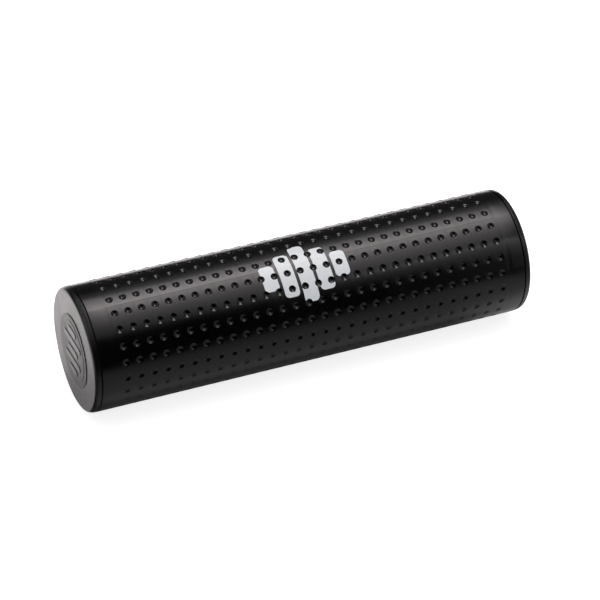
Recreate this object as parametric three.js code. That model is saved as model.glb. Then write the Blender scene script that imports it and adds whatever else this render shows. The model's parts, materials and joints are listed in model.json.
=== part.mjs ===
// A percussion tube shaker: a moulded tube with a dimpled grip, two plug caps and a loose charge of shot.
// Millimetres, +Z up. The shaker lies along X on the ground, and the origin is on the ground under its middle.
import * as THREE from "three";

// Tube
const TUBE_DIAMETER = 46;
const TUBE_LENGTH = 163.6;
const TUBE_WALL = 2;
const EDGE_BREAK = 0.3; // chamfer on the tube's end edges and on the flange edge that meets them

// Dimpled grip
const DIMPLE_DIAMETER = 2.8;
const DIMPLE_DEPTH = 0.7;
const DIMPLE_PITCH = 5; // from column to column along the tube
const DIMPLE_ROW_PITCH = 6; // from row to row around the tube
const PLAIN_BAND = 9; // least length from each end of the tube to the first column's centre

// End caps
const CAP_FLANGE = 2.2; // thickness of the disc that closes the tube
const CAP_TAPER = 0.6; // how far the disc's rim narrows towards its face
const CAP_EDGE_RADIUS = 1.2; // rounding of the disc's outer edge
const CAP_SEAT_GAP = 0.3; // between the disc and the tube's end
const CAP_SIDES = 36; // flats around a cap, one of them on the ground
const SPIGOT_LENGTH = 6.2; // how far the plug reaches into the bore
const SPIGOT_WALL = 1.8;
const SPIGOT_FIT = 0.3; // radial gap between plug and bore
const SPIGOT_LEAD = 0.6; // chamfer that guides the plug in
const RECESS_DIAMETER = 28; // round field sunk into the cap's face
const RECESS_DEPTH = 0.5;
const MEDAL_DIAMETER = 23.4; // plain disc standing in the recess
const MEDAL_HEIGHT = 0.3; // above the recess floor
const MOULD_DRAFT = 0.3; // how far the recess and medal walls lean

// Shot charge
const SHOT_DIAMETER = 5;
const SHOT_COUNT = 28;
const SHOT_PLAY = 0.3; // gap left between a shot and the bore
const CHARGE_WIDTH = 22; // across the bottom of the bore
const SHOT_SIDES = 8;
const SHOT_BANDS = 5;

// Sizes that follow
const tubeRadius = TUBE_DIAMETER / 2;
const boreRadius = tubeRadius - TUBE_WALL;
const tubeEnd = TUBE_LENGTH / 2;
const spigotRadius = boreRadius - SPIGOT_FIT;
const cupRadius = spigotRadius - SPIGOT_WALL;

// Finishes
const tubePlastic = { color: 0x0b0a0a, roughness: 0.32, metalness: 0 };
const capPlastic = { color: 0x141314, roughness: 0.5, metalness: 0 };
const shotSteel = { color: 0x8d9094, roughness: 0.3, metalness: 1 };

function mesh(name, geometry, finish) {
  const made = new THREE.Mesh(geometry, new THREE.MeshStandardMaterial(finish));
  made.name = name;
  return made;
}

// The tube's wall is one closed skin. Each dimple is a six-sided rim on the outside and a point at its bottom,
// and the rims are joined straight to each other, so the round of the tube runs through the rims' corners.
function dimpledTube() {
  const columns = 1 + Math.floor((TUBE_LENGTH - 2 * PLAIN_BAND) / DIMPLE_PITCH);
  const rows = 2 * Math.round((Math.PI * TUBE_DIAMETER) / (2 * DIMPLE_ROW_PITCH));
  const rimRadius = DIMPLE_DIAMETER / 2;
  const rowAngle = (2 * Math.PI) / rows;
  const rimCorners = [0, 1, 2, 3, 4, 5];
  const [right, upperRight, upperLeft, left, lowerLeft, lowerRight] = rimCorners;
  const positions = [];
  const triangles = [];

  // Angles run from the top of the tube towards +Y.
  function point(x, angle, radius) {
    positions.push(x, radius * Math.sin(angle), radius * Math.cos(angle));
    return positions.length / 3 - 1;
  }

  function quad(a, b, c, d) {
    triangles.push(a, b, c, a, c, d);
  }

  function dimple(column, row) {
    const x = (column - (columns - 1) / 2) * DIMPLE_PITCH;
    const angle = row * rowAngle;
    const rim = rimCorners.map((corner) => {
      const turn = (corner * Math.PI) / 3;
      const along = rimRadius * Math.cos(turn);
      const around = (rimRadius * Math.sin(turn)) / tubeRadius;
      return point(x + along, angle + around, tubeRadius);
    });
    const bottom = point(x, angle, tubeRadius - DIMPLE_DEPTH);
    rimCorners.forEach((corner) => triangles.push(bottom, rim[corner], rim[(corner + 1) % 6]));
    return rim;
  }

  const rims = Array.from({ length: rows }, (_, row) =>
    Array.from({ length: columns }, (_, column) => dimple(column, row)),
  );

  rims.forEach((rowRims, row) => {
    const nextRow = rims[(row + 1) % rows];
    rowRims.forEach((rim, column) => {
      const above = nextRow[column];
      quad(rim[upperLeft], rim[upperRight], above[lowerRight], above[lowerLeft]);
      if (column === columns - 1) return;
      const beside = rowRims[column + 1];
      const aboveBeside = nextRow[column + 1];
      quad(rim[right], beside[left], beside[upperLeft], rim[upperRight]);
      quad(rim[lowerRight], beside[lowerLeft], beside[left], rim[right]);
      quad(rim[upperRight], beside[upperLeft], aboveBeside[lowerLeft], above[lowerRight]);
    });
  });

  // The plain bands, the chamfered ends and the bore are rings with a corner for each corner of the end rims.
  const rimAngle = (rimRadius * Math.sin(Math.PI / 3)) / tubeRadius;
  const ringAngles = rims.flatMap((_, row) => [-1, 0, 1].map((side) => row * rowAngle + side * rimAngle));
  const ring = (x, radius) => ringAngles.map((angle) => point(x, angle, radius));
  const endRings = (end) => [
    ring(end * (tubeEnd - EDGE_BREAK), tubeRadius),
    ring(end * tubeEnd, tubeRadius - EDGE_BREAK),
    ring(end * tubeEnd, boreRadius + EDGE_BREAK),
    ring(end * (tubeEnd - EDGE_BREAK), boreRadius),
  ];
  const firstRing = rims.flatMap((rowRims) => [lowerLeft, left, upperLeft].map((corner) => rowRims[0][corner]));
  const lastRing = rims.flatMap((rowRims) =>
    [lowerRight, right, upperRight].map((corner) => rowRims[columns - 1][corner]),
  );
  const rings = [lastRing, ...endRings(1), ...endRings(-1).reverse(), firstRing];
  rings.slice(1).forEach((ringB, i) => {
    const ringA = rings[i];
    ringA.forEach((corner, k) => {
      const next = (k + 1) % ringA.length;
      quad(corner, ringB[k], ringB[next], ringA[next]);
    });
  });

  const geometry = new THREE.BufferGeometry();
  geometry.setAttribute("position", new THREE.Float32BufferAttribute(positions, 3));
  geometry.setIndex(triangles);
  return geometry;
}

// A plug cap turned about X, for the end of the tube at +X. x is measured outwards from the tube's end.
// Beside the seam the disc's flats touch the tube's round, so a cap on the ground is level with the tube.
function plugCap() {
  const flatRadius = tubeRadius / Math.cos(Math.PI / CAP_SIDES);
  const back = CAP_SEAT_GAP;
  const face = back + CAP_FLANGE;
  const recessFloor = face - RECESS_DEPTH;
  const medalTop = recessFloor + MEDAL_HEIGHT;
  const recessRadius = RECESS_DIAMETER / 2;
  const medalRadius = MEDAL_DIAMETER / 2;
  const rimTilt = Math.atan2(CAP_TAPER, CAP_FLANGE - EDGE_BREAK);
  const edgeInset = (CAP_EDGE_RADIUS * (1 - Math.sin(rimTilt))) / Math.cos(rimTilt);
  const edgeCentre = flatRadius - CAP_TAPER - edgeInset;

  const outline = new THREE.Path();
  outline.moveTo(0, back);
  outline.lineTo(cupRadius, back);
  outline.lineTo(cupRadius, -SPIGOT_LENGTH);
  outline.lineTo(spigotRadius - SPIGOT_LEAD, -SPIGOT_LENGTH);
  outline.lineTo(spigotRadius, SPIGOT_LEAD - SPIGOT_LENGTH);
  outline.lineTo(spigotRadius, back);
  outline.lineTo(flatRadius - EDGE_BREAK, back);
  outline.lineTo(flatRadius, back + EDGE_BREAK);
  const edgeSteps = 3;
  for (let step = 0; step <= edgeSteps; step += 1) {
    const turn = rimTilt + (step / edgeSteps) * (Math.PI / 2 - rimTilt);
    outline.lineTo(
      edgeCentre + CAP_EDGE_RADIUS * Math.cos(turn),
      face - CAP_EDGE_RADIUS * (1 - Math.sin(turn)),
    );
  }
  outline.lineTo(recessRadius, face);
  outline.lineTo(recessRadius - MOULD_DRAFT, recessFloor);
  outline.lineTo(medalRadius, recessFloor);
  outline.lineTo(medalRadius - MOULD_DRAFT, medalTop);
  outline.lineTo(0, medalTop);

  const turned = new THREE.LatheGeometry(outline.getPoints(), CAP_SIDES, Math.PI / CAP_SIDES);
  turned.rotateZ(-Math.PI / 2);
  turned.translate(tubeEnd, 0, 0);
  return turned;
}

// Where each shot lies on the bottom of the bore, scattered evenly along the chamber and across the charge.
function shotPlaces() {
  const goldenShare = (Math.sqrt(5) - 1) / 2;
  const chamber = TUBE_LENGTH - 2 * SPIGOT_LENGTH - SHOT_DIAMETER;
  const trackRadius = boreRadius - SHOT_DIAMETER / 2 - SHOT_PLAY;
  return Array.from({ length: SHOT_COUNT }, (_, index) => {
    const share = (index + 0.5) / SHOT_COUNT;
    const scatter = ((index + 0.5) * goldenShare) % 1;
    const y = (scatter - 0.5) * CHARGE_WIDTH;
    return new THREE.Vector3((share - 0.5) * chamber, y, -Math.sqrt(trackRadius ** 2 - y ** 2));
  });
}

const shaker = new THREE.Group();
shaker.position.z = tubeRadius;

shaker.add(mesh("shaker_tube", dimpledTube(), tubePlastic));

const rightCap = mesh("right_end_cap", plugCap(), capPlastic);
const leftCap = mesh("left_end_cap", plugCap(), capPlastic);
leftCap.rotation.z = Math.PI;
shaker.add(leftCap, rightCap);

shotPlaces().forEach((place, index) => {
  const ball = new THREE.SphereGeometry(SHOT_DIAMETER / 2, SHOT_SIDES, SHOT_BANDS);
  const shot = mesh(`shot_${String(index + 1).padStart(2, "0")}`, ball, shotSteel);
  shot.position.copy(place);
  shaker.add(shot);
});

export default shaker;
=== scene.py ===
"""Finishes a percussion tube shaker around its packed frame.

It models the dimpled tube, the plug caps and the steel shot, and sets a plain stage.
"""
import json
import math

import bmesh
import bpy
from bpy.props import FloatProperty, FloatVectorProperty, IntProperty, PointerProperty
from mathutils import Matrix, Vector

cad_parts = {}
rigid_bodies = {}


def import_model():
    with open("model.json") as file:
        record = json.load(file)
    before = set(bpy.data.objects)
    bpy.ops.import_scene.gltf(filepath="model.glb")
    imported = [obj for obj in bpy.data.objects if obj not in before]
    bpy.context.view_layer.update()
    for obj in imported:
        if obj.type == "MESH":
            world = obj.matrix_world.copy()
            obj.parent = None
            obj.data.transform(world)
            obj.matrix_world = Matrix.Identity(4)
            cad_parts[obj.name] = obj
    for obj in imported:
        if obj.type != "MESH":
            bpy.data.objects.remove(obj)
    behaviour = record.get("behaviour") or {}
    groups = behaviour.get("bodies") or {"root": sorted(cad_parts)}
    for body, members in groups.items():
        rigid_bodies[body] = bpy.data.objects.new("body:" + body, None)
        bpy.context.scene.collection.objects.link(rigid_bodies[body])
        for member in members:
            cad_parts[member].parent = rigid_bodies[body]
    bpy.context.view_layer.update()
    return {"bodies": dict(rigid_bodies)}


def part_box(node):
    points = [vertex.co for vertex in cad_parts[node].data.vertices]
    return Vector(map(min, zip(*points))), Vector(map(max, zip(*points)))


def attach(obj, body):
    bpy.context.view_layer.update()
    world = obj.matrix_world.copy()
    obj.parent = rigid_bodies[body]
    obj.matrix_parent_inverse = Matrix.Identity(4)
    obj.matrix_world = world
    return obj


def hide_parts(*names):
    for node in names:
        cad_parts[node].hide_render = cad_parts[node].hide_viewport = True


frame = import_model()

bl_info = {
    "name": "Tube shaker",
    "version": (1, 0, 0),
    "blender": (4, 5, 0),
    "location": "3D View > Sidebar > Shaker",
    "description": "Models the tube, caps and shot of a percussion shaker and sets its stage",
    "category": "Object",
}

TUBE_LOW, TUBE_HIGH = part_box("shaker_tube")
CAP_LOW, CAP_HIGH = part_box("right_end_cap")
SHOT_LOW, SHOT_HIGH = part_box("shot_01")
SHOT_BODIES = sorted(name for name in frame["bodies"] if name.startswith("shot_"))

MM = 0.001
SNAP = 0.01 * MM  # lengths closer than this count as the same
FULL_TURN = 2 * math.pi

# Counts of cuts, sides and rounding steps
CELL_CUTS = 2  # on each side of a dimple's cell
BOWL_SIDES = 12
CAP_SIDES = 96
BAR_SIDES = 24
BALL_SIDES = 24
BALL_RINGS = 12
EDGE_STEPS = 8
CORNER_STEPS = 3
RIDGE_STEPS = 2  # of a parting line and of a belt

# Smoothing of edges
TUBE_SMOOTH_ANGLE = math.radians(50)
CAP_SMOOTH_ANGLE = math.radians(35)
NORMAL_WEIGHT = 60

# Shading
MIX_FIRST, MIX_SECOND, MIX_RESULT = 6, 7, 2  # the colour sockets of a mix node
NOISE_LOW, NOISE_HIGH = 0.3, 0.7  # where most of a noise lies
WHITE = (1, 1, 1)


def size(name, description, default):
    """A length that a user may change."""
    return FloatProperty(
        name=name, description=description, default=default, min=0, precision=5, unit="LENGTH"
    )


def share(name, description, default):
    """A value between 0 and 1 that a user may change."""
    return FloatProperty(
        name=name, description=description, default=default, min=0, max=1, subtype="FACTOR"
    )


def colour(name, description, default):
    """A linear colour that a user may change."""
    return FloatVectorProperty(
        name=name, description=description, default=default, min=0, max=1, size=3, subtype="COLOR"
    )


class ShakerTubeSizes(bpy.types.PropertyGroup):
    """Sizes of the moulded tube and its dimpled grip."""

    radius: size("Radius", "Outer radius of the tube", round(TUBE_HIGH[2] - TUBE_LOW[2], 4) / 2)
    length: size("Length", "Length of the tube between its end faces", round(TUBE_HIGH[0] - TUBE_LOW[0], 4))
    wall: size("Wall", "Thickness of the tube's wall", 2 * MM)
    edge_break: size("Edge break", "Chamfer on the tube's end edges", 0.4 * MM)
    columns: IntProperty(name="Columns", description="Dimples along the tube", default=30, min=1)
    rows: IntProperty(name="Rows", description="Dimples around the tube", default=24, min=3)
    pitch: size("Pitch", "Distance between columns along the tube", 5 * MM)
    lip_radius: size("Lip radius", "Outer radius of a dimple's rounded lip", 1.5 * MM)
    rim_radius: size("Rim radius", "Radius of a dimple where its bowl begins", 1.28 * MM)
    rim_drop: size("Rim drop", "How far the bowl's rim lies below the skin", 0.06 * MM)
    bowl_radius: size("Bowl radius", "Radius of the ball that a dimple's bowl is part of", 1.65 * MM)
    line_width: size("Mould line width", "Width of the parting line", 0.2 * MM)
    line_height: size("Mould line height", "Height of the parting line", 0.015 * MM)


class ShakerCapSizes(bpy.types.PropertyGroup):
    """Sizes of a plug cap."""

    seam: size("Seam", "Gap between the disc and the tube's end", 0.2 * MM)
    taper: size("Taper", "How far the disc's rim narrows from the seam to the face", 0.5 * MM)
    edge_radius: size("Edge radius", "How far the rounding of the disc's outer edge reaches", 1.05 * MM)
    back_radius: size("Back radius", "Rounding of the disc's edge towards the tube", 0.25 * MM)
    disc_radius: size("Disc radius", "Radius of the round disc that stands on the face", 13.7 * MM)
    disc_height: size("Disc height", "Height of the disc above the face", 0.28 * MM)
    medal_radius: size("Medal radius", "Radius of the second step on the disc", 11.6 * MM)
    medal_height: size("Medal height", "Height of the second step above the disc", 0.14 * MM)
    draft: size("Draft", "How far the moulded walls lean", 0.12 * MM)
    corner: size("Corner", "Rounding of the moulded corners on the face", 0.05 * MM)
    spigot_radius: size("Spigot radius", "Outer radius of the plug", 20.7 * MM)
    spigot_wall: size("Spigot wall", "Wall thickness of the plug", 1.8 * MM)
    spigot_lead: size("Spigot lead", "Chamfer that guides the plug into the bore", 0.6 * MM)
    bar_width: size("Bar width", "Width of a raised bar on the medal", 2.5 * MM)
    bar_pitch: size("Bar pitch", "Distance between raised bars", 4 * MM)
    bar_height: size("Bar height", "Height of the raised bars", 0.2 * MM)
    bar_reach: FloatVectorProperty(
        name="Bar lengths",
        description="Lengths of the raised bars, from the lowest to the highest",
        default=(8 * MM, 15 * MM, 10 * MM, 17 * MM, 8 * MM),
        size=5,
        unit="LENGTH",
    )


class ShakerShotSizes(bpy.types.PropertyGroup):
    """Sizes of the steel shot."""

    radius: size("Radius", "Radius of a ball", round(SHOT_HIGH[2] - SHOT_LOW[2], 4) / 2)
    belt_width: size("Belt width", "Width of the rolled belt round a ball", 0.3 * MM)
    belt_flat: size("Belt flat", "How far the belt is rolled flat", 0.03 * MM)


class ShakerFinish(bpy.types.PropertyGroup):
    """Colours and gloss of the shaker's materials."""

    tube_colour: colour("Tube", "Colour of the tube's plastic", (0.0015, 0.0014, 0.0014))
    tube_roughness: share("Tube roughness", "Roughness of the tube's satin skin", 0.18)
    cap_colour: colour("Caps", "Colour of the caps' plastic", (0.002, 0.0018, 0.0018))
    cap_roughness: share("Cap roughness", "Roughness of the caps' matt skin", 0.28)
    ink_colour: colour("Ink", "Colour of the printed bars", (0.78, 0.83, 0.86))
    steel_colour: colour("Steel", "Colour of the shot", (0.5, 0.51, 0.53))
    print_along: FloatProperty(
        name="Print along",
        description="Middle of the printed bars along the tube",
        default=-1 * MM,
        precision=5,
        unit="LENGTH",
    )
    print_around: size("Print around", "Middle of the print round the tube, from its top", 12.5 * MM)
    print_pitch: size("Print pitch", "Distance between printed bars", 6.8 * MM)
    print_width: size("Print width", "Width of a printed bar", 5.6 * MM)
    print_corner: size("Print corner", "Rounding of a printed bar's corners", 1.6 * MM)
    print_reach: FloatVectorProperty(
        name="Print lengths",
        description="Lengths of the printed bars round the tube",
        default=(10 * MM, 17 * MM, 23 * MM, 17 * MM, 10 * MM),
        size=5,
        unit="LENGTH",
    )


class ShakerStage(bpy.types.PropertyGroup):
    """Camera."""

    azimuth: FloatProperty(
        name="Azimuth",
        description="Direction of the camera round the shaker",
        default=math.radians(-22.81),
        subtype="ANGLE",
    )
    elevation: FloatProperty(
        name="Elevation",
        description="Height of the camera above the horizon",
        default=math.radians(34.17),
        subtype="ANGLE",
    )
    distance: size("Distance", "Distance of the camera from its aim", 1.11)
    aim: FloatVectorProperty(
        name="Aim",
        description="Point that the camera looks at",
        default=(0.0018, -0.001, 0.0225),
        unit="LENGTH",
    )
    lens: FloatProperty(
        name="Lens", description="Focal length of the camera", default=184.2, min=1, unit="CAMERA"
    )


def clear_selection():
    """Deselects every object, so that the next operator acts on new work alone."""
    bpy.ops.object.select_all(action="DESELECT")


def select_only(piece):
    """Selects one object and makes it the active one."""
    clear_selection()
    piece.select_set(True)
    bpy.context.view_layer.objects.active = piece


def pick(kind, inside):
    """Selects the vertices or edges of the mesh in edit mode whose every corner passes the test."""
    bpy.ops.mesh.select_mode(type=kind)
    bpy.ops.mesh.select_all(action="DESELECT")
    mesh = bpy.context.edit_object.data
    shape = bmesh.from_edit_mesh(mesh)
    items = {"VERT": shape.verts, "EDGE": shape.edges}[kind]
    found = [item for item in items if all(inside(v.co) for v in getattr(item, "verts", [item]))]
    for item in found:
        item.select_set(True)
    shape.select_flush_mode()
    bmesh.update_edit_mesh(mesh)
    if not found:
        raise RuntimeError("there is nothing at the place that should be selected")


def near(a, b):
    """True where two lengths are the same but for rounding."""
    return abs(a - b) < SNAP


def draw_rim(shift=(0, 0, 0), spread=1):
    """Extrudes the selected rim, spreads it about the Z axis and shifts it."""
    bpy.ops.mesh.extrude_region_move()
    bpy.ops.transform.resize(value=(spread, spread, 1), center_override=(0, 0, 0))
    bpy.ops.transform.translate(value=shift)


def apply_modifier(piece, kind, **settings):
    """Adds a modifier to the piece with these settings and applies it."""
    modifier = piece.modifiers.new(kind.title(), kind)
    for name, value in settings.items():
        setattr(modifier, name, value)
    bpy.ops.object.modifier_apply(modifier=modifier.name)


def apply_place():
    """Puts the place and turn of the selected piece into its mesh."""
    bpy.ops.object.transform_apply(location=True, rotation=True, scale=True)


def smooth(piece, angle):
    """Shades a piece smooth but for edges sharper than the angle, and keeps its large faces even."""
    select_only(piece)
    bpy.ops.object.shade_smooth_by_angle(angle=angle)
    apply_modifier(piece, "WEIGHTED_NORMAL", weight=NORMAL_WEIGHT, keep_sharp=True)


def merge_and_face_out():
    """Merges doubles in the mesh in edit mode and turns its faces outwards."""
    bpy.ops.mesh.select_mode(type="VERT")
    bpy.ops.mesh.select_all(action="SELECT")
    bpy.ops.mesh.remove_doubles(threshold=SNAP / 4)
    bpy.ops.mesh.normals_make_consistent(inside=False)


def finish_piece(piece, body, material, slot, *nodes):
    """Gives a modelled piece its material, and has it ride on its body in place of its nodes. The slot is
    not used.
    """
    piece.data.name = piece.name
    piece.data.materials.clear()
    piece.data.materials.append(material)
    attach(piece, body)
    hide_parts(*nodes)


def row_pitch(tube):
    """Distance between rows of dimples round the tube."""
    return FULL_TURN * tube.radius / tube.rows


def press_cell(tube):
    """One flat cell of the grip with its outside up: a square of skin round a bowl with a rounded lip."""
    clear_selection()
    bpy.ops.mesh.primitive_plane_add(size=1, enter_editmode=True)
    cell = bpy.context.object
    cell.name = "tube_skin"
    bpy.ops.transform.resize(value=(tube.pitch, row_pitch(tube), 1))
    bpy.ops.mesh.delete(type="ONLY_FACE")
    bpy.ops.mesh.select_all(action="SELECT")
    bpy.ops.mesh.subdivide(number_cuts=CELL_CUTS)
    turn = math.pi / BOWL_SIDES
    bpy.ops.mesh.primitive_circle_add(vertices=BOWL_SIDES, radius=tube.lip_radius, rotation=(0, 0, turn))
    bpy.ops.mesh.select_all(action="SELECT")
    bpy.ops.mesh.bridge_edge_loops()

    pick("EDGE", lambda p: p.length < tube.lip_radius + SNAP)
    last_radius, last_drop = tube.lip_radius, 0
    rim_slope = math.asin(tube.rim_radius / tube.bowl_radius)
    bottom = tube.rim_drop + tube.bowl_radius * (1 - math.cos(rim_slope))
    for slope in (rim_slope, rim_slope * 2 / 3, rim_slope / 3):
        radius = tube.bowl_radius * math.sin(slope)
        drop = bottom - tube.bowl_radius * (1 - math.cos(slope))
        draw_rim(shift=(0, 0, last_drop - drop), spread=radius / last_radius)
        last_radius, last_drop = radius, drop
    bpy.ops.mesh.edge_face_add()
    bpy.ops.mesh.poke()
    pick("VERT", lambda p: p.xy.length < SNAP)
    bpy.ops.transform.translate(value=(0, 0, last_drop - bottom))
    bpy.ops.object.mode_set(mode="OBJECT")
    return cell


def raise_mould_line(tube, across):
    """Raises the fine parting line that runs along the flat sheet at this distance across it."""
    pick("EDGE", lambda p: near(p.y, across) and near(p.z, 0))
    bpy.ops.mesh.bevel(offset=tube.line_width / 2, segments=RIDGE_STEPS, affect="EDGES")
    pick("VERT", lambda p: near(p.y, across) and near(p.z, 0))
    bpy.ops.transform.translate(value=(0, 0, tube.line_height))
    pick("EDGE", lambda p: abs(p.y - across) < tube.line_width)
    bpy.ops.mesh.mark_sharp()


def turn_in_end(tube, side):
    """Draws the plain band at one end of the flat sheet, the end's chamfers and its face."""
    grip_end = side * tube.columns * tube.pitch / 2
    band = side * (tube.length / 2 - tube.edge_break) - grip_end
    face = tube.wall - 2 * tube.edge_break
    step = side * tube.edge_break
    pick("EDGE", lambda p: near(p.x, grip_end))
    draw_rim(shift=(band, 0, 0))
    draw_rim(shift=(step, 0, -tube.edge_break))
    draw_rim(shift=(0, 0, -face))
    draw_rim(shift=(-step, 0, -tube.edge_break))


def roll_tube(tube, sheet):
    """Rolls the flat sheet about X into the tube and stands it on the ground."""
    sheet.rotation_euler = (math.pi / 2, 0, 0)
    apply_place()
    apply_modifier(sheet, "SIMPLE_DEFORM", deform_method="BEND", deform_axis="X", angle=FULL_TURN)
    sheet.location = (0, -tube.radius, tube.radius)
    apply_place()
    bpy.ops.object.mode_set(mode="EDIT")
    merge_and_face_out()
    bpy.ops.object.mode_set(mode="OBJECT")


class SHAKER_OT_mould_tube(bpy.types.Operator):
    """Models the tube: one dimple pressed into a cell, repeated over a flat sheet, walled and rolled up"""

    bl_idname = "shaker.mould_tube"
    bl_label = "Mould tube"

    def execute(self, context):
        tube = context.scene.shaker_tube
        sheet = press_cell(tube)
        row = row_pitch(tube)
        repeat = {
            "use_relative_offset": False,
            "use_constant_offset": True,
            "use_merge_vertices": True,
            "merge_threshold": SNAP,
        }
        along = (tube.pitch, 0, 0)
        around = (0, row, 0)
        apply_modifier(sheet, "ARRAY", count=tube.columns, constant_offset_displace=along, **repeat)
        apply_modifier(sheet, "ARRAY", count=tube.rows, constant_offset_displace=around, **repeat)

        bpy.ops.object.mode_set(mode="EDIT")
        bpy.ops.mesh.select_all(action="SELECT")
        middle = (tube.columns - 1) / 2
        half_rows = tube.rows / 2
        bpy.ops.transform.translate(value=(-middle * tube.pitch, -half_rows * row, 0))
        rows_to_top = tube.rows / 4
        line_below_top = 1.5  # also in rows
        front_line = (rows_to_top - line_below_top) * row
        raise_mould_line(tube, front_line)
        raise_mould_line(tube, front_line - half_rows * row)
        turn_in_end(tube, 1)
        turn_in_end(tube, -1)
        bore = tube.length - 2 * tube.edge_break
        draw_rim(shift=(bore, 0, 0))
        bpy.ops.object.mode_set(mode="OBJECT")

        roll_tube(tube, sheet)
        smooth(sheet, TUBE_SMOOTH_ANGLE)
        material = satin_tube_material(context.scene.shaker_finish, tube)
        finish_piece(sheet, "shaker", material, "tube_plastic", "shaker_tube")
        return {"FINISHED"}


def at_ring(radius, height):
    """A test for the vertices of a ring about Z."""
    return lambda p: near(p.xy.length, radius) and near(p.z, height)


def medal_top(cap):
    """Height of the medal's top above the cap's face."""
    return cap.disc_height + cap.medal_height


def turn_cap(cap, tube):
    """A plug cap that faces up, with its face at height 0."""
    rim = tube.radius - cap.taper
    clear_selection()
    bpy.ops.mesh.primitive_circle_add(vertices=CAP_SIDES, radius=rim, fill_type="NGON", enter_editmode=True)
    piece = bpy.context.object

    bpy.ops.mesh.inset(thickness=rim - cap.disc_radius)
    bpy.ops.mesh.inset(thickness=cap.draft, depth=cap.disc_height)
    disc_edge = cap.disc_radius - cap.draft
    bpy.ops.mesh.inset(thickness=disc_edge - cap.medal_radius)
    bpy.ops.mesh.inset(thickness=cap.draft, depth=cap.medal_height)

    flange = CAP_HIGH[0] - TUBE_HIGH[0] - cap.seam
    pick("EDGE", at_ring(rim, 0))
    draw_rim(shift=(0, 0, -flange), spread=tube.radius / rim)
    draw_rim(spread=cap.spigot_radius / tube.radius)
    plug = CAP_HIGH[0] - CAP_LOW[0] - flange
    draw_rim(shift=(0, 0, cap.spigot_lead - plug))
    nose = cap.spigot_radius - cap.spigot_lead
    draw_rim(shift=(0, 0, -cap.spigot_lead), spread=nose / cap.spigot_radius)
    cup = cap.spigot_radius - cap.spigot_wall
    draw_rim(spread=cup / nose)
    draw_rim(shift=(0, 0, plug))
    bpy.ops.mesh.edge_face_add()

    pick("EDGE", at_ring(rim, 0))
    bpy.ops.mesh.bevel(offset=cap.edge_radius, segments=EDGE_STEPS, affect="EDGES")
    pick("EDGE", at_ring(tube.radius, -flange))
    bpy.ops.mesh.bevel(offset=cap.back_radius, segments=CORNER_STEPS, affect="EDGES")
    corners = [
        (cap.disc_radius, 0),
        (disc_edge, cap.disc_height),
        (cap.medal_radius, cap.disc_height),
        (cap.medal_radius - cap.draft, medal_top(cap)),
    ]
    for radius, height in corners:
        pick("EDGE", at_ring(radius, height))
        bpy.ops.mesh.bevel(offset=cap.corner, segments=CORNER_STEPS, affect="EDGES")
    merge_and_face_out()
    bpy.ops.object.mode_set(mode="OBJECT")
    return piece


def mould_bar(cap, reach, offset):
    """One raised bar with round ends and soft edges, standing on the medal."""
    clear_selection()
    radius = cap.bar_width / 2
    stretch = reach / 2 - radius
    base = medal_top(cap)
    bpy.ops.mesh.primitive_circle_add(
        vertices=BAR_SIDES, radius=radius, fill_type="NGON", enter_editmode=True
    )
    bar = bpy.context.object
    for side in (1, -1):
        pick("VERT", lambda p: p.x * side > SNAP)
        bpy.ops.transform.translate(value=(side * stretch, 0, 0))
    bpy.ops.mesh.select_all(action="SELECT")
    bpy.ops.transform.translate(value=(0, offset, base - cap.bar_height))
    bpy.ops.mesh.extrude_region_move()
    bpy.ops.transform.translate(value=(0, 0, 2 * cap.bar_height))
    top = base + cap.bar_height
    pick("EDGE", lambda p: near(p.z, top))
    bpy.ops.mesh.bevel(offset=cap.corner, segments=CORNER_STEPS, affect="EDGES")
    merge_and_face_out()
    bpy.ops.object.mode_set(mode="OBJECT")
    return bar


def weld(piece, tool):
    """Joins a tool's solid to the piece and removes the tool."""
    select_only(piece)
    apply_modifier(piece, "BOOLEAN", operation="UNION", solver="EXACT", object=tool)
    bpy.data.objects.remove(tool)


class SHAKER_OT_mould_caps(bpy.types.Operator):
    """Models a plug cap with its stepped disc and raised bars, and sets a copy into each end of the tube"""

    bl_idname = "shaker.mould_caps"
    bl_label = "Mould caps"

    def execute(self, context):
        cap = context.scene.shaker_cap
        tube = context.scene.shaker_tube
        piece = turn_cap(cap, tube)
        middle = (len(cap.bar_reach) - 1) / 2
        for index, reach in enumerate(cap.bar_reach):
            weld(piece, mould_bar(cap, reach, (index - middle) * cap.bar_pitch))
        smooth(piece, CAP_SMOOTH_ANGLE)

        material = matt_cap_material(context.scene.shaker_finish, cap)
        face = CAP_HIGH[0]
        for side, name in ((-1, "left"), (1, "right")):
            copy = piece.copy()
            copy.data = piece.data.copy()
            copy.name = name + "_cap"
            context.collection.objects.link(copy)
            select_only(copy)
            copy.rotation_euler = (math.pi / 2, 0, side * math.pi / 2)
            copy.location = (side * face, 0, tube.radius)
            apply_place()
            finish_piece(copy, "shaker", material, "cap_plastic", name + "_end_cap")
        bpy.data.objects.remove(piece)
        return {"FINISHED"}


def roll_ball(shot):
    """One steel ball about the origin, with the faint belt that its rolling leaves."""
    clear_selection()
    bpy.ops.mesh.primitive_uv_sphere_add(
        segments=BALL_SIDES, ring_count=BALL_RINGS, radius=shot.radius, enter_editmode=True
    )
    ball = bpy.context.object
    pick("EDGE", lambda p: near(p.z, 0))
    bpy.ops.mesh.bevel(offset=shot.belt_width / 2, segments=RIDGE_STEPS, affect="EDGES")
    pick("VERT", lambda p: abs(p.z) < shot.belt_width)
    draw = 1 - shot.belt_flat / shot.radius
    bpy.ops.transform.resize(value=(draw, draw, 1), center_override=(0, 0, 0))
    bpy.ops.object.mode_set(mode="OBJECT")
    bpy.ops.object.shade_smooth()
    return ball


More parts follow.
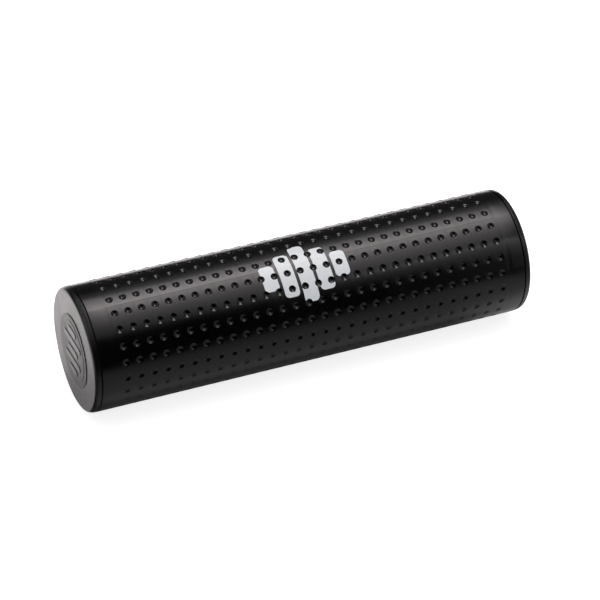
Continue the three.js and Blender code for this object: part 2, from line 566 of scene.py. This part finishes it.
class SHAKER_OT_pour_shot(bpy.types.Operator):
    """Models one steel ball and lays a copy of it where each shot of the charge lies"""

    bl_idname = "shaker.pour_shot"
    bl_label = "Pour shot"

    def execute(self, context):
        ball = roll_ball(context.scene.shaker_shot)
        material = shot_steel_material(context.scene.shaker_finish)
        golden_turn = math.pi * (3 - math.sqrt(5))
        for index, body in enumerate(SHOT_BODIES):
            low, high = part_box(body)
            middle = (Vector(low) + Vector(high)) / 2
            roll = Matrix.Rotation(index * golden_turn, 4, "X") @ Matrix.Rotation(index, 4, "Y")
            copy = ball.copy()
            copy.data = ball.data.copy()
            copy.name = "ball" + body.removeprefix("shot")
            copy.data.transform(Matrix.Translation(middle) @ roll)
            context.collection.objects.link(copy)
            finish_piece(copy, body, material, "shot_steel", body)
        bpy.data.objects.remove(ball)
        return {"FINISHED"}


class Recipe:
    """A node tree under construction, with short ways to place and link its nodes."""

    def __init__(self, tree):
        self.tree = tree

    def node(self, kind, **settings):
        """Adds a node and sets its properties."""
        made = self.tree.nodes.new(kind)
        for name, value in settings.items():
            setattr(made, name, value)
        return made

    def feed(self, socket, source):
        """Links a source to an input socket, or sets the socket to a plain value."""
        if isinstance(source, bpy.types.NodeSocket):
            self.tree.links.new(source, socket)
        else:
            socket.default_value = source

    def math(self, operation, *sources):
        """A math node fed by sockets or numbers."""
        made = self.node("ShaderNodeMath", operation=operation)
        for socket, source in zip(made.inputs, sources):
            self.feed(socket, source)
        return made.outputs[0]

    def ramp(self, value, low, high, to_low=0.0, to_high=1.0):
        """Maps a value from one range to another with soft ends."""
        made = self.node("ShaderNodeMapRange", interpolation_type="SMOOTHSTEP")
        names = ("Value", "From Min", "From Max", "To Min", "To Max")
        for name, source in zip(names, (value, low, high, to_low, to_high)):
            self.feed(made.inputs[name], source)
        return made.outputs["Result"]

    def distance(self, first, second):
        """How far two steps at right angles lead."""
        squares = self.math("MULTIPLY_ADD", first, first, self.math("MULTIPLY", second, second))
        return self.math("SQRT", squares)

    def place(self):
        """The place of a point in its object."""
        return self.node("ShaderNodeTexCoord").outputs["Object"]

    def axes(self, place):
        """The X, Y and Z of a place."""
        made = self.node("ShaderNodeSeparateXYZ")
        self.feed(made.inputs["Vector"], place)
        return made.outputs

    def noise(self, place, scale, detail=2.0, roughness=0.5):
        """Noise at a place, from 0 to 1."""
        made = self.node("ShaderNodeTexNoise")
        self.feed(made.inputs["Vector"], place)
        self.feed(made.inputs["Scale"], scale)
        made.inputs["Detail"].default_value = detail
        made.inputs["Roughness"].default_value = roughness
        return made.outputs["Fac"]

    def blend(self, factor, first, second):
        """Mixes two colours."""
        made = self.node("ShaderNodeMix", data_type="RGBA")
        self.feed(made.inputs["Factor"], factor)
        for index, source in ((MIX_FIRST, first), (MIX_SECOND, second)):
            linked = isinstance(source, bpy.types.NodeSocket)
            self.feed(made.inputs[index], source if linked else (*source, 1))
        return made.outputs[MIX_RESULT]


def new_group(name, inputs, outputs):
    """An empty shader group with these float sockets, its recipe, and its inner input and output nodes."""
    group = bpy.data.node_groups.new(name, "ShaderNodeTree")
    for socket, default in inputs.items():
        made = group.interface.new_socket(socket, in_out="INPUT", socket_type="NodeSocketFloat")
        made.default_value = default
    for socket in outputs:
        group.interface.new_socket(socket, in_out="OUTPUT", socket_type="NodeSocketFloat")
    recipe = Recipe(group)
    return group, recipe, recipe.node("NodeGroupInput"), recipe.node("NodeGroupOutput")


def moulded_skin_group():
    """Shader group: the fine unevenness of a moulded plastic skin, as a height and a change of gloss."""
    name = "moulded_skin"
    if name in bpy.data.node_groups:
        return bpy.data.node_groups[name]
    group, recipe, given, result = new_group(name, {"Grain": 2500.0, "Drift": 60.0}, ("Height", "Gloss"))
    place = recipe.place()
    grain = recipe.noise(place, given.outputs["Grain"], detail=3.0, roughness=0.6)
    recipe.feed(result.inputs["Height"], grain)
    recipe.feed(result.inputs["Gloss"], recipe.noise(place, given.outputs["Drift"]))
    return group


def handling_group():
    """Shader group: fine hairlines and smudges that handling leaves, as a mask."""
    name = "handling_marks"
    if name in bpy.data.node_groups:
        return bpy.data.node_groups[name]
    group, recipe, given, result = new_group(name, {"Amount": 0.5}, ("Mask",))
    place = recipe.place()
    hairlines = ((0.4, (60, 1500, 1500)), (-0.9, (1300, 70, 1300)))
    line_edge, line_core = 0.66, 0.72
    patch_scale, patch_edge, patch_core = 45.0, 0.45, 0.7
    marks = []
    for turn, stretch in hairlines:
        mapping = recipe.node("ShaderNodeMapping")
        recipe.feed(mapping.inputs["Vector"], place)
        mapping.inputs["Rotation"].default_value = (turn, turn / 2, turn)
        mapping.inputs["Scale"].default_value = stretch
        lines = recipe.noise(mapping.outputs["Vector"], 1.0, detail=1.0)
        marks.append(recipe.ramp(lines, line_edge, line_core))
    patches = recipe.ramp(recipe.noise(place, patch_scale), patch_edge, patch_core)
    both = recipe.math("MAXIMUM", *marks)
    worn = recipe.math("MULTIPLY", both, patches)
    recipe.feed(result.inputs["Mask"], recipe.math("MULTIPLY", worn, given.outputs["Amount"]))
    return group


def new_material(name):
    """An empty node material, its recipe and its main shader."""
    material = bpy.data.materials.new(name)
    material.use_nodes = True
    recipe = Recipe(material.node_tree)
    return material, recipe, material.node_tree.nodes["Principled BSDF"]


def place_group(recipe, group, **inputs):
    """Places a shader group in a material with its own values."""
    made = recipe.node("ShaderNodeGroup", node_tree=group)
    for name, value in inputs.items():
        recipe.feed(made.inputs[name], value)
    return made.outputs


def bump(recipe, shader, height, distance):
    """Feeds a height, counted in this distance, to the shader's normal."""
    made = recipe.node("ShaderNodeBump")
    recipe.feed(made.inputs["Height"], height)
    made.inputs["Distance"].default_value = distance
    recipe.feed(shader.inputs["Normal"], made.outputs["Normal"])


def gloss_drift(recipe, skin, low, high):
    """A value that drifts between two levels with the gloss of the skin."""
    return recipe.ramp(skin["Gloss"], NOISE_LOW, NOISE_HIGH, low, high)


def tinted(recipe, skin, plain, darkest, lightest):
    """A plain colour that drifts between a darker and a lighter tint with the skin."""
    made = recipe.node("ShaderNodeVectorMath", operation="SCALE")
    made.inputs[0].default_value = plain
    recipe.feed(made.inputs["Scale"], gloss_drift(recipe, skin, darkest, lightest))
    return made.outputs[0]


def printed_bars(recipe, finish, along, around):
    """Mask of the printed bars, with round corners and a length of its own for each, round the tube."""
    mask = 0.0
    middle = (len(finish.print_reach) - 1) / 2
    corner = finish.print_corner
    blur = 0.04 * MM

    def past(source, place, half):
        """How far a point lies past the straight part of a bar's side."""
        away = recipe.math("ABSOLUTE", recipe.math("SUBTRACT", source, place))
        return recipe.math("MAXIMUM", recipe.math("SUBTRACT", away, half - corner), 0.0)

    for index, reach in enumerate(finish.print_reach):
        place = finish.print_along + (index - middle) * finish.print_pitch
        side = past(along, place, finish.print_width / 2)
        end = past(around, finish.print_around, reach / 2)
        edge = recipe.math("SUBTRACT", corner, recipe.distance(side, end))
        mask = recipe.math("MAXIMUM", mask, recipe.ramp(edge, -blur, blur))
    return mask


def satin_tube_material(finish, tube):
    """Satin black moulded plastic with a white print that misses the dimples."""
    material, recipe, shader = new_material("satin_tube_plastic")
    along, depth, height = recipe.axes(recipe.place())
    lift = recipe.math("SUBTRACT", height, tube.radius)
    toward = recipe.math("MULTIPLY", depth, -1.0)
    around = recipe.math("MULTIPLY", recipe.math("ARCTAN2", toward, lift), tube.radius)
    from_axis = recipe.distance(toward, lift)
    half_drop = tube.rim_drop / 2
    skin_level = recipe.ramp(from_axis, tube.radius - tube.rim_drop, tube.radius - half_drop)
    ink = recipe.math("MULTIPLY", printed_bars(recipe, finish, along, around), skin_level)

    skin = place_group(recipe, moulded_skin_group(), Grain=2600.0, Drift=55.0)
    marks = place_group(recipe, handling_group(), Amount=0.5)
    plastic = tinted(recipe, skin, finish.tube_colour, darkest=0.8, lightest=1.2)
    recipe.feed(shader.inputs["Base Color"], recipe.blend(ink, plastic, finish.ink_colour))

    gloss_change, scuff_dulling, ink_dulling = 0.02, 0.12, 0.12
    low, high = finish.tube_roughness - gloss_change, finish.tube_roughness + gloss_change
    satin = gloss_drift(recipe, skin, low, high)
    scuffed = recipe.math("MULTIPLY_ADD", marks["Mask"], scuff_dulling, satin)
    recipe.feed(shader.inputs["Roughness"], recipe.math("MULTIPLY_ADD", ink, ink_dulling, scuffed))

    # The ink stands on the grain, and a sink mark runs round the tube where the plug inside it ends
    grain_height, ink_rise, sink_depth = 0.004 * MM, 2.0, 8.0
    sink_start, sink_end = 0.1 * MM, 1.5 * MM
    printed = recipe.math("MULTIPLY_ADD", ink, ink_rise, skin["Height"])
    past_plug = recipe.math("SUBTRACT", recipe.math("ABSOLUTE", along), CAP_LOW[0])
    from_plug = recipe.math("ABSOLUTE", past_plug)
    sink = recipe.ramp(from_plug, sink_start, sink_end, -sink_depth, 0.0)
    bump(recipe, shader, recipe.math("ADD", printed, sink), grain_height)
    return material


def matt_cap_material(finish, cap):
    """Matt black moulded plastic with a fine spark-eroded grain, coarser on the disc beside its bars."""
    material, recipe, shader = new_material("matt_cap_plastic")
    shader.inputs["IOR"].default_value = 1.65
    skin = place_group(recipe, moulded_skin_group(), Grain=3600.0, Drift=90.0)
    marks = place_group(recipe, handling_group(), Amount=0.7)
    plastic = tinted(recipe, skin, finish.cap_colour, darkest=0.8, lightest=1.25)
    recipe.feed(shader.inputs["Base Color"], plastic)

    disc_blur = 0.1 * MM
    along, across, height = recipe.axes(recipe.place())
    lift = recipe.math("SUBTRACT", height, (TUBE_LOW[2] + TUBE_HIGH[2]) / 2)
    from_axis = recipe.distance(lift, across)
    disc = recipe.ramp(from_axis, cap.disc_radius - disc_blur, cap.disc_radius, 1.0, 0.0)
    step = CAP_HIGH[0] + medal_top(cap)
    bar_foot, bar_waist = step + cap.bar_height / 4, step + cap.bar_height / 2
    below_bars = recipe.ramp(recipe.math("ABSOLUTE", along), bar_foot, bar_waist, 1.0, 0.0)
    eroded = recipe.math("MULTIPLY", disc, below_bars)

    gloss_change, grain_dulling, rub_polish = 0.03, 0.12, 0.1
    low, high = finish.cap_roughness - gloss_change, finish.cap_roughness + gloss_change
    grainy = recipe.math("MULTIPLY_ADD", eroded, grain_dulling, gloss_drift(recipe, skin, low, high))
    rubbed = recipe.math("MULTIPLY_ADD", marks["Mask"], -rub_polish, grainy)
    recipe.feed(shader.inputs["Roughness"], rubbed)
    grain_height = 0.01 * MM
    coarse = recipe.math("MULTIPLY_ADD", eroded, skin["Height"], skin["Height"])
    bump(recipe, shader, coarse, grain_height)
    return material


def shot_steel_material(finish):
    """Bright rolled steel with faint oil stains and hairlines."""
    material, recipe, shader = new_material("rolled_steel")
    shader.inputs["Metallic"].default_value = 1.0
    skin = place_group(recipe, moulded_skin_group(), Grain=5200.0, Drift=420.0)
    marks = place_group(recipe, handling_group(), Amount=0.8)
    stain_edge, stain_core, stain_tint = 0.45, 0.7, 0.55
    stain = recipe.ramp(skin["Gloss"], stain_edge, stain_core)
    dull = [stain_tint * level for level in finish.steel_colour]
    recipe.feed(shader.inputs["Base Color"], recipe.blend(stain, finish.steel_colour, dull))
    brightest, dullest, scuff_dulling, grain_height = 0.2, 0.34, 0.2, 0.002 * MM
    polish = gloss_drift(recipe, skin, brightest, dullest)
    scuffed = recipe.math("MULTIPLY_ADD", marks["Mask"], scuff_dulling, polish)
    recipe.feed(shader.inputs["Roughness"], scuffed)
    bump(recipe, shader, skin["Height"], grain_height)
    return material


def seen_ray(recipe):
    """1 for rays that the camera, a reflection or glass sends out, and 0 for rays that carry light."""
    path = recipe.node("ShaderNodeLightPath")
    seen = recipe.math("MAXIMUM", path.outputs["Is Camera Ray"], path.outputs["Is Glossy Ray"])
    return recipe.math("MAXIMUM", seen, path.outputs["Is Transmission Ray"])


def set_world(scene):
    """A white surround for the camera, a grey one for reflections and a faint fill for what is lit."""
    world = bpy.data.worlds.new("studio")
    world.use_nodes = True
    scene.world = world
    recipe = Recipe(world.node_tree)
    background = world.node_tree.nodes["Background"]
    path = recipe.node("ShaderNodeLightPath").outputs
    lit, mirrored = (0.4, 0.4, 0.4), (0.28, 0.28, 0.28)
    fill = recipe.blend(path["Is Glossy Ray"], lit, mirrored)
    recipe.feed(background.inputs["Color"], recipe.blend(path["Is Camera Ray"], fill, WHITE))


def floor_material():
    """A white floor that keeps a shadow near the shaker and goes on as plain white further out."""
    material, recipe, shader = new_material("studio_floor")
    shader.inputs["Base Color"].default_value = (0.88, 0.88, 0.88, 1)
    shader.inputs["Roughness"].default_value = 0.9
    shader.inputs["Specular IOR Level"].default_value = 0.0
    seen = seen_ray(recipe)
    camera = recipe.node("ShaderNodeLightPath").outputs["Is Camera Ray"]
    along, across, _ = recipe.axes(recipe.place())
    beyond = recipe.math("SUBTRACT", recipe.math("ABSOLUTE", along), TUBE_HIGH[0])
    away = recipe.distance(recipe.math("MAXIMUM", beyond, 0.0), across)

    # Near the shaker the floor is lit and glows, evenly for the camera; in reflections its glow is a
    # painted reflection in a warm tint, weaker close by as painted shade
    camera_glow, painted_reflection_tint = 0.8, (1, 0.94, 0.94)
    close, wide = 0.08, 0.2
    # Painted shade: the glow that reflections see falls close by the shaker
    painted_contact_shade = recipe.ramp(away, 0.0, close, 0.3, 1.0)
    wider = recipe.ramp(away, close, wide, 1.0, 0.86)
    painted_reflection_glow = recipe.math("MULTIPLY", painted_contact_shade, wider)
    level = recipe.math("MAXIMUM", painted_reflection_glow, recipe.math("MULTIPLY", camera, camera_glow))
    lift = recipe.node("ShaderNodeEmission")
    recipe.feed(lift.inputs["Color"], recipe.blend(camera, painted_reflection_tint, WHITE))
    recipe.feed(lift.inputs["Strength"], recipe.math("MULTIPLY", seen, level))
    near_floor = recipe.node("ShaderNodeAddShader")
    recipe.feed(near_floor.inputs[0], shader.outputs[0])
    recipe.feed(near_floor.inputs[1], lift.outputs[0])

    # Further out it is plain white, a little less so in reflections
    far_start, far_end, mirrored_white = 0.25, 0.6, 0.88
    far = recipe.ramp(away, far_start, far_end)
    white = recipe.node("ShaderNodeEmission")
    whiteness = recipe.math("MULTIPLY_ADD", camera, 1 - mirrored_white, mirrored_white)
    recipe.feed(white.inputs["Strength"], whiteness)
    mix = recipe.node("ShaderNodeMixShader")
    recipe.feed(mix.inputs[0], recipe.math("MULTIPLY", seen, far))
    recipe.feed(mix.inputs[1], near_floor.outputs[0])
    recipe.feed(mix.inputs[2], white.outputs[0])
    recipe.feed(recipe.tree.nodes["Material Output"].inputs["Surface"], mix.outputs[0])
    return material


def lay_floor():
    """A wide floor at height 0."""
    clear_selection()
    bpy.ops.mesh.primitive_plane_add(size=8)
    floor = bpy.context.object
    floor.name = "floor"
    floor.data.materials.append(floor_material())


def glow_curve(recipe, place, points):
    """A glow that changes with a place between 0 and 1."""
    glow = recipe.node("ShaderNodeFloatCurve")
    recipe.feed(glow.inputs["Value"], place)
    curve = glow.mapping.curves[0]
    for point, location in zip(curve.points, (points[0], points[-1])):
        point.location = location
    for location in points[1:-1]:
        curve.points.new(*location)
    glow.mapping.update()
    return glow.outputs["Value"]


def hang_softbox(middle, width, depth, radiance, left_glow, right_glow):
    """An overhead softbox that faces down, with the glow of its two sides given from front to back."""
    lamp = bpy.data.lights.new("softbox", "AREA")
    lamp.color = (1, 0.93, 0.94)
    lamp.shape = "RECTANGLE"
    lamp.size = width
    lamp.size_y = depth
    lamp.energy = radiance * math.pi * width * depth
    lamp.use_nodes = True
    recipe = Recipe(lamp.node_tree)
    side, back, _ = recipe.axes(recipe.node("ShaderNodeNewGeometry").outputs["Parametric"])
    left = glow_curve(recipe, back, left_glow)
    right = glow_curve(recipe, back, right_glow)
    left_end, right_start = 0.47, 0.61
    rightward = recipe.ramp(side, left_end, right_start)
    change = recipe.math("MULTIPLY", rightward, recipe.math("SUBTRACT", right, left))
    glow = recipe.math("ADD", left, change)
    end_fades = ((0.03, 0.17), (0.95, 0.8))
    for dark, full in end_fades:
        glow = recipe.math("MULTIPLY", glow, recipe.ramp(side, dark, full))
    recipe.feed(lamp.node_tree.nodes["Emission"].inputs["Strength"], glow)
    softbox = bpy.data.objects.new("softbox", lamp)
    softbox.location = middle
    softbox.visible_camera = False
    bpy.context.collection.objects.link(softbox)


def painted_reflection_material(name, patches):
    """Painted reflection: the glow of a sheet that only reflections see. Its patches add up, and each is a
    product of fades along an axis.

    A fade is an axis, the two places on it where the fade starts and ends, and the levels there.
    """
    material, recipe, _ = new_material(name)
    place = recipe.axes(recipe.place())
    strength = 0.0
    for patch in patches:
        level = 1.0
        for axis, start, end, first, last in patch:
            fade = recipe.ramp(place[axis], start, end, first, last)
            level = recipe.math("MULTIPLY", level, fade)
        strength = recipe.math("ADD", strength, level)
    emission = recipe.node("ShaderNodeEmission")
    recipe.feed(emission.inputs["Strength"], strength)
    recipe.feed(recipe.tree.nodes["Material Output"].inputs["Surface"], emission.outputs[0])
    return material


def set_painted_reflection(name, corner, width, height, *patches):
    """A glowing sheet from a corner that only reflections see, so that they show its glow and not the
    surround: a painted reflection.
    """
    clear_selection()
    bpy.ops.mesh.primitive_plane_add(size=1, enter_editmode=True)
    reflection_sheet = bpy.context.object
    reflection_sheet.name = name
    for vertex in bmesh.from_edit_mesh(reflection_sheet.data).verts:
        share_x, share_y = vertex.co.x + 0.5, vertex.co.y + 0.5
        vertex.co = Vector(corner) + share_x * Vector(width) + share_y * Vector(height)
    bpy.ops.object.mode_set(mode="OBJECT")
    reflection_sheet.data.materials.append(painted_reflection_material(name, patches))
    reflection_sheet.visible_camera = False
    reflection_sheet.visible_diffuse = False
    reflection_sheet.visible_shadow = False


def set_painted_reflections():
    """Sets the painted reflections round the shaker: glowing sheets behind it, before it, to its right,
    above its left and on the floor before it.
    """
    # Painted reflections: each sheet glows for reflections alone, in place of the surround
    set_painted_reflection("back_flag", (-1, 0.43, 0), (2.4, 0, 0), (0, 0, 0.66), [("Z", 0.314, 0.658, 0.06, 0.5)])
    set_painted_reflection(
        "front_flag",
        (-1, -0.5, 0),
        (2.4, 0, 0),
        (0, 0, 0.7),
        [("Z", 0.42, 0.68, 0, 0.45), ("X", -0.2, 0, 0.35, 1)],
        [("X", 0.2, 0.36, 0, 0.8), ("X", 0.42, 0.65, 1, 0.55), ("Z", 0.1, 0.7, 0.3, 1.25)],
    )
    set_painted_reflection("left_card", (-1.3, -0.3, 0.74), (0.9, 0, 0), (0, 1.1, 0), [("X", -0.6, -0.4, 0.75, 0.28)])
    set_painted_reflection("right_flag", (1, -0.5, 0), (0, 1.1, 0), (0, 0, 1.6), [("Z", 0.35, 0.62, 0.4, 0.14)])
    # Painted reflection of the floor before the shaker, with painted shade close in front of it and
    # brighter beyond its left end
    set_painted_reflection(
        "front_cloth",
        (-0.5, -0.5, 0.4 * MM),
        (1, 0, 0),
        (0, 0.49, 0),
        [
            ("Y", -0.2, -0.03, 0.03, 0.36),
            # Painted shade: darker close in front of the shaker
            ("Y", -0.026, -0.016, 1, 0.25),
            ("X", -0.097, -0.072, 0.3, 1),
            ("X", 0.097, 0.13, 1, 0.7),
        ],
        [("X", 0.055, 0.09, 0, 1), ("X", 0.097, 0.13, 1, 0.4), ("Y", -0.045, -0.02, 0.1, 0.42)],
        [("X", -0.19, -0.13, 1.6, 0), ("Y", -0.06, -0.04, 0, 1)],
    )


def set_camera(scene, stage):
    """A camera that looks at its aim from a direction and a distance."""
    camera = bpy.data.objects.new("camera", bpy.data.cameras.new("camera"))
    camera.data.lens = stage.lens
    level = math.cos(stage.elevation)
    back = Vector((
        math.sin(stage.azimuth) * level,
        -math.cos(stage.azimuth) * level,
        math.sin(stage.elevation),
    ))
    camera.location = Vector(stage.aim) + back * stage.distance
    camera.rotation_euler = back.to_track_quat("Z", "Y").to_euler()
    bpy.context.collection.objects.link(camera)
    scene.camera = camera


class SHAKER_OT_set_stage(bpy.types.Operator):
    """Sets the floor, the softbox, the painted reflection sheets and the camera"""

    bl_idname = "shaker.set_stage"
    bl_label = "Set stage"

    def execute(self, context):
        scene = context.scene
        scene.view_settings.view_transform = "Standard"
        set_world(scene)
        lay_floor()
        left_glow = (
            (0, 0.02), (0.19, 0.07), (0.35, 0.18), (0.485, 0.35), (0.61, 0.71),
            (0.68, 1), (0.75, 0.7), (0.82, 0.52), (0.9, 0.4), (1, 0.27),
        )
        right_glow = (
            (0, 0.03), (0.19, 0.11), (0.35, 0.22), (0.485, 0.36), (0.61, 0.66),
            (0.68, 0.78), (0.75, 0.53), (0.82, 0.37), (0.9, 0.31), (1, 0.25),
        )
        hang_softbox(
            middle=(0.24, -0.06, 0.72),
            width=0.6,
            depth=1.1,
            radiance=5.8,
            left_glow=left_glow,
            right_glow=right_glow,
        )
        set_painted_reflections()
        set_camera(scene, scene.shaker_stage)
        return {"FINISHED"}


class SHAKER_PT_panel(bpy.types.Panel):
    """Lists the shaker's sizes, finishes and steps"""

    bl_idname = "SHAKER_PT_panel"
    bl_label = "Tube shaker"
    bl_space_type = "VIEW_3D"
    bl_region_type = "UI"
    bl_category = "Shaker"

    def draw(self, context):
        for name, group in SETTINGS.items():
            box = self.layout.box()
            box.label(text=group.__doc__)
            for setting in group.__annotations__:
                box.prop(getattr(context.scene, name), setting)
        for step in STEPS:
            self.layout.operator(step.bl_idname)


SETTINGS = {
    "shaker_tube": ShakerTubeSizes,
    "shaker_cap": ShakerCapSizes,
    "shaker_shot": ShakerShotSizes,
    "shaker_finish": ShakerFinish,
    "shaker_stage": ShakerStage,
}
STEPS = (SHAKER_OT_set_stage, SHAKER_OT_mould_tube, SHAKER_OT_mould_caps, SHAKER_OT_pour_shot)


def register():
    """Registers the settings, the steps and the panel."""
    for group in SETTINGS.values():
        bpy.utils.register_class(group)
    for name, group in SETTINGS.items():
        setattr(bpy.types.Scene, name, PointerProperty(type=group))
    for step in STEPS:
        bpy.utils.register_class(step)
    bpy.utils.register_class(SHAKER_PT_panel)


def unregister():
    """Takes the panel, the steps and the settings away again."""
    bpy.utils.unregister_class(SHAKER_PT_panel)
    for step in reversed(STEPS):
        bpy.utils.unregister_class(step)
    for name in SETTINGS:
        delattr(bpy.types.Scene, name)
    for group in reversed(SETTINGS.values()):
        bpy.utils.unregister_class(group)


def main():
    """Runs every step in order."""
    register()
    bpy.ops.shaker.set_stage()
    bpy.ops.shaker.mould_tube()
    bpy.ops.shaker.mould_caps()
    bpy.ops.shaker.pour_shot()


if __name__ == "__main__":
    main()
